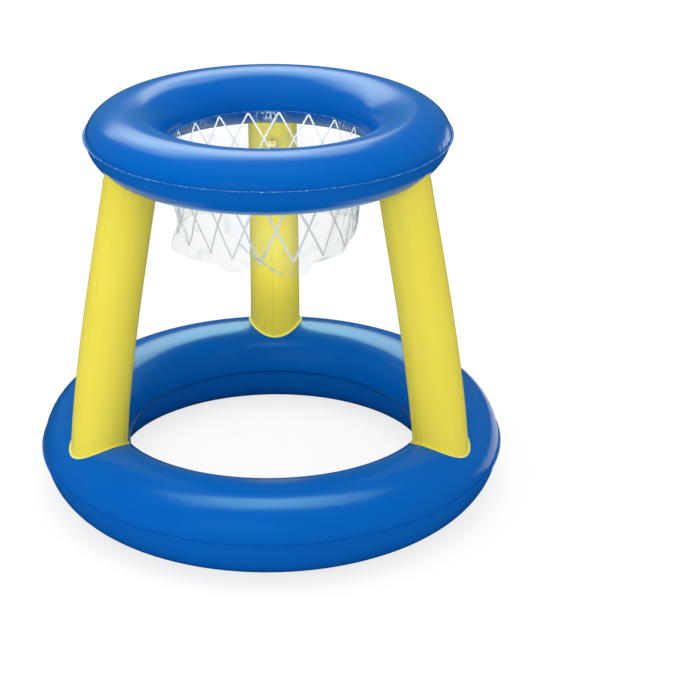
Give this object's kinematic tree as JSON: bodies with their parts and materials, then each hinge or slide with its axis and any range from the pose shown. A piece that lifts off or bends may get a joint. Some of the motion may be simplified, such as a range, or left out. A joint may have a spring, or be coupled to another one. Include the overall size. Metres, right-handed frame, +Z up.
{
  "type": "floating basketball hoop",
  "caption": "Inflatable floating hoop: a vinyl base ring and a smaller hoop ring joined by leaning tube legs, with a clear film skirt printed with a net.",
  "frame": {"origin": "on the surface it stands on, under the middle of the base ring", "axes": "+Z up, the back leg stands towards +Y, the front opening between the other legs faces -Y"},
  "size_m": [0.61, 0.61, 0.5105],
  "materials": {
    "blue_vinyl": "glossy",
    "yellow_vinyl": "satin",
    "clear_film": "glossy",
    "clear_valve": "satin"
  },
  "bodies": {
    "inflated_body": {"base_ring_upper_skin": "blue_vinyl", "base_ring_lower_skin": "blue_vinyl", "hoop_ring_upper_skin": "blue_vinyl", "hoop_ring_lower_skin": "blue_vinyl", "leg_left_tube": "yellow_vinyl", "leg_right_tube": "yellow_vinyl", "leg_back_tube": "yellow_vinyl", "base_ring_valve_flange": "clear_valve", "hoop_ring_valve_flange": "clear_valve", "leg_left_valve_flange": "clear_valve", "leg_right_valve_flange": "clear_valve", "leg_back_valve_flange": "clear_valve", "net_skirt": "clear_film"},
    "base_ring_stem": {"base_ring_valve_stem": "clear_valve"},
    "base_ring_stopper": {"base_ring_valve_stopper": "clear_valve"},
    "base_ring_flap": {"base_ring_valve_flap": "clear_valve"},
    "hoop_ring_stem": {"hoop_ring_valve_stem": "clear_valve"},
    "hoop_ring_stopper": {"hoop_ring_valve_stopper": "clear_valve"},
    "hoop_ring_flap": {"hoop_ring_valve_flap": "clear_valve"},
    "leg_left_stem": {"leg_left_valve_stem": "clear_valve"},
    "leg_left_stopper": {"leg_left_valve_stopper": "clear_valve"},
    "leg_left_flap": {"leg_left_valve_flap": "clear_valve"},
    "leg_right_stem": {"leg_right_valve_stem": "clear_valve"},
    "leg_right_stopper": {"leg_right_valve_stopper": "clear_valve"},
    "leg_right_flap": {"leg_right_valve_flap": "clear_valve"},
    "leg_back_stem": {"leg_back_valve_stem": "clear_valve"},
    "leg_back_stopper": {"leg_back_valve_stopper": "clear_valve"},
    "leg_back_flap": {"leg_back_valve_flap": "clear_valve"}
  },
  "joints": [
    {"name": "base_ring_stem_pull", "type": "slide", "parent": "inflated_body", "child": "base_ring_stem", "axis": [0.444, 0.769, 0.46], "range_m": [0, 0.008]},
    {"name": "base_ring_stopper_swing", "type": "hinge", "parent": "base_ring_stem", "child": "base_ring_stopper", "pos_m": [0.14818, 0.25665, 0.09147], "axis": [0.866, -0.5, 0], "range_deg": [0, 120]},
    {"name": "base_ring_flap_swing", "type": "hinge", "parent": "base_ring_stem", "child": "base_ring_flap", "pos_m": [0.14183, 0.24566, 0.0814], "axis": [-0.866, 0.5, 0], "range_deg": [0, 50], "stiffness_Nm_per_rad": 0.0001, "springref_deg": -5.73},
    {"name": "hoop_ring_stem_pull", "type": "slide", "parent": "inflated_body", "child": "hoop_ring_stem", "axis": [-0.399, 0.6912, 0.6026], "range_m": [0, 0.008]},
    {"name": "hoop_ring_stopper_swing", "type": "hinge", "parent": "hoop_ring_stem", "child": "hoop_ring_stopper", "pos_m": [-0.11048, 0.19136, 0.50026], "axis": [0.866, 0.5, 0], "range_deg": [0, 120]},
    {"name": "hoop_ring_flap_swing", "type": "hinge", "parent": "hoop_ring_stem", "child": "hoop_ring_flap", "pos_m": [-0.10507, 0.18199, 0.48821], "axis": [-0.866, -0.5, 0], "range_deg": [0, 50], "stiffness_Nm_per_rad": 0.0001, "springref_deg": -5.73},
    {"name": "leg_left_stem_pull", "type": "slide", "parent": "inflated_body", "child": "leg_left_stem", "axis": [0.6517, 0.7331, -0.1948], "range_m": [0, 0.008]},
    {"name": "leg_left_stopper_swing", "type": "hinge", "parent": "leg_left_stem", "child": "leg_left_stopper", "pos_m": [-0.14355, -0.06949, 0.4136], "axis": [0.7375, -0.6724, -0.0633], "range_deg": [0, 120]},
    {"name": "leg_left_flap_swing", "type": "hinge", "parent": "leg_left_stem", "child": "leg_left_flap", "pos_m": [-0.15446, -0.08146, 0.41366], "axis": [-0.7375, 0.6724, 0.0633], "range_deg": [0, 50], "stiffness_Nm_per_rad": 0.0001, "springref_deg": -5.73},
    {"name": "leg_right_stem_pull", "type": "slide", "parent": "inflated_body", "child": "leg_right_stem", "axis": [-0.6517, 0.7331, -0.1948], "range_m": [0, 0.008]},
    {"name": "leg_right_stopper_swing", "type": "hinge", "parent": "leg_right_stem", "child": "leg_right_stopper", "pos_m": [0.14355, -0.06949, 0.4136], "axis": [0.7375, 0.6724, 0.0633], "range_deg": [0, 120]},
    {"name": "leg_right_flap_swing", "type": "hinge", "parent": "leg_right_stem", "child": "leg_right_flap", "pos_m": [0.15446, -0.08146, 0.41366], "axis": [-0.7375, -0.6724, -0.0633], "range_deg": [0, 50], "stiffness_Nm_per_rad": 0.0001, "springref_deg": -5.73},
    {"name": "leg_back_stem_pull", "type": "slide", "parent": "inflated_body", "child": "leg_back_stem", "axis": [0, -0.9788, -0.2048], "range_m": [0, 0.008]},
    {"name": "leg_back_stopper_swing", "type": "hinge", "parent": "leg_back_stem", "child": "leg_back_stopper", "pos_m": [0, 0.15726, 0.41322], "axis": [-1, 0, 0], "range_deg": [0, 120]},
    {"name": "leg_back_flap_swing", "type": "hinge", "parent": "leg_back_stem", "child": "leg_back_flap", "pos_m": [0, 0.17346, 0.41345], "axis": [1, 0, 0], "range_deg": [0, 50], "stiffness_Nm_per_rad": 0.0001, "springref_deg": -5.73}
  ]
}
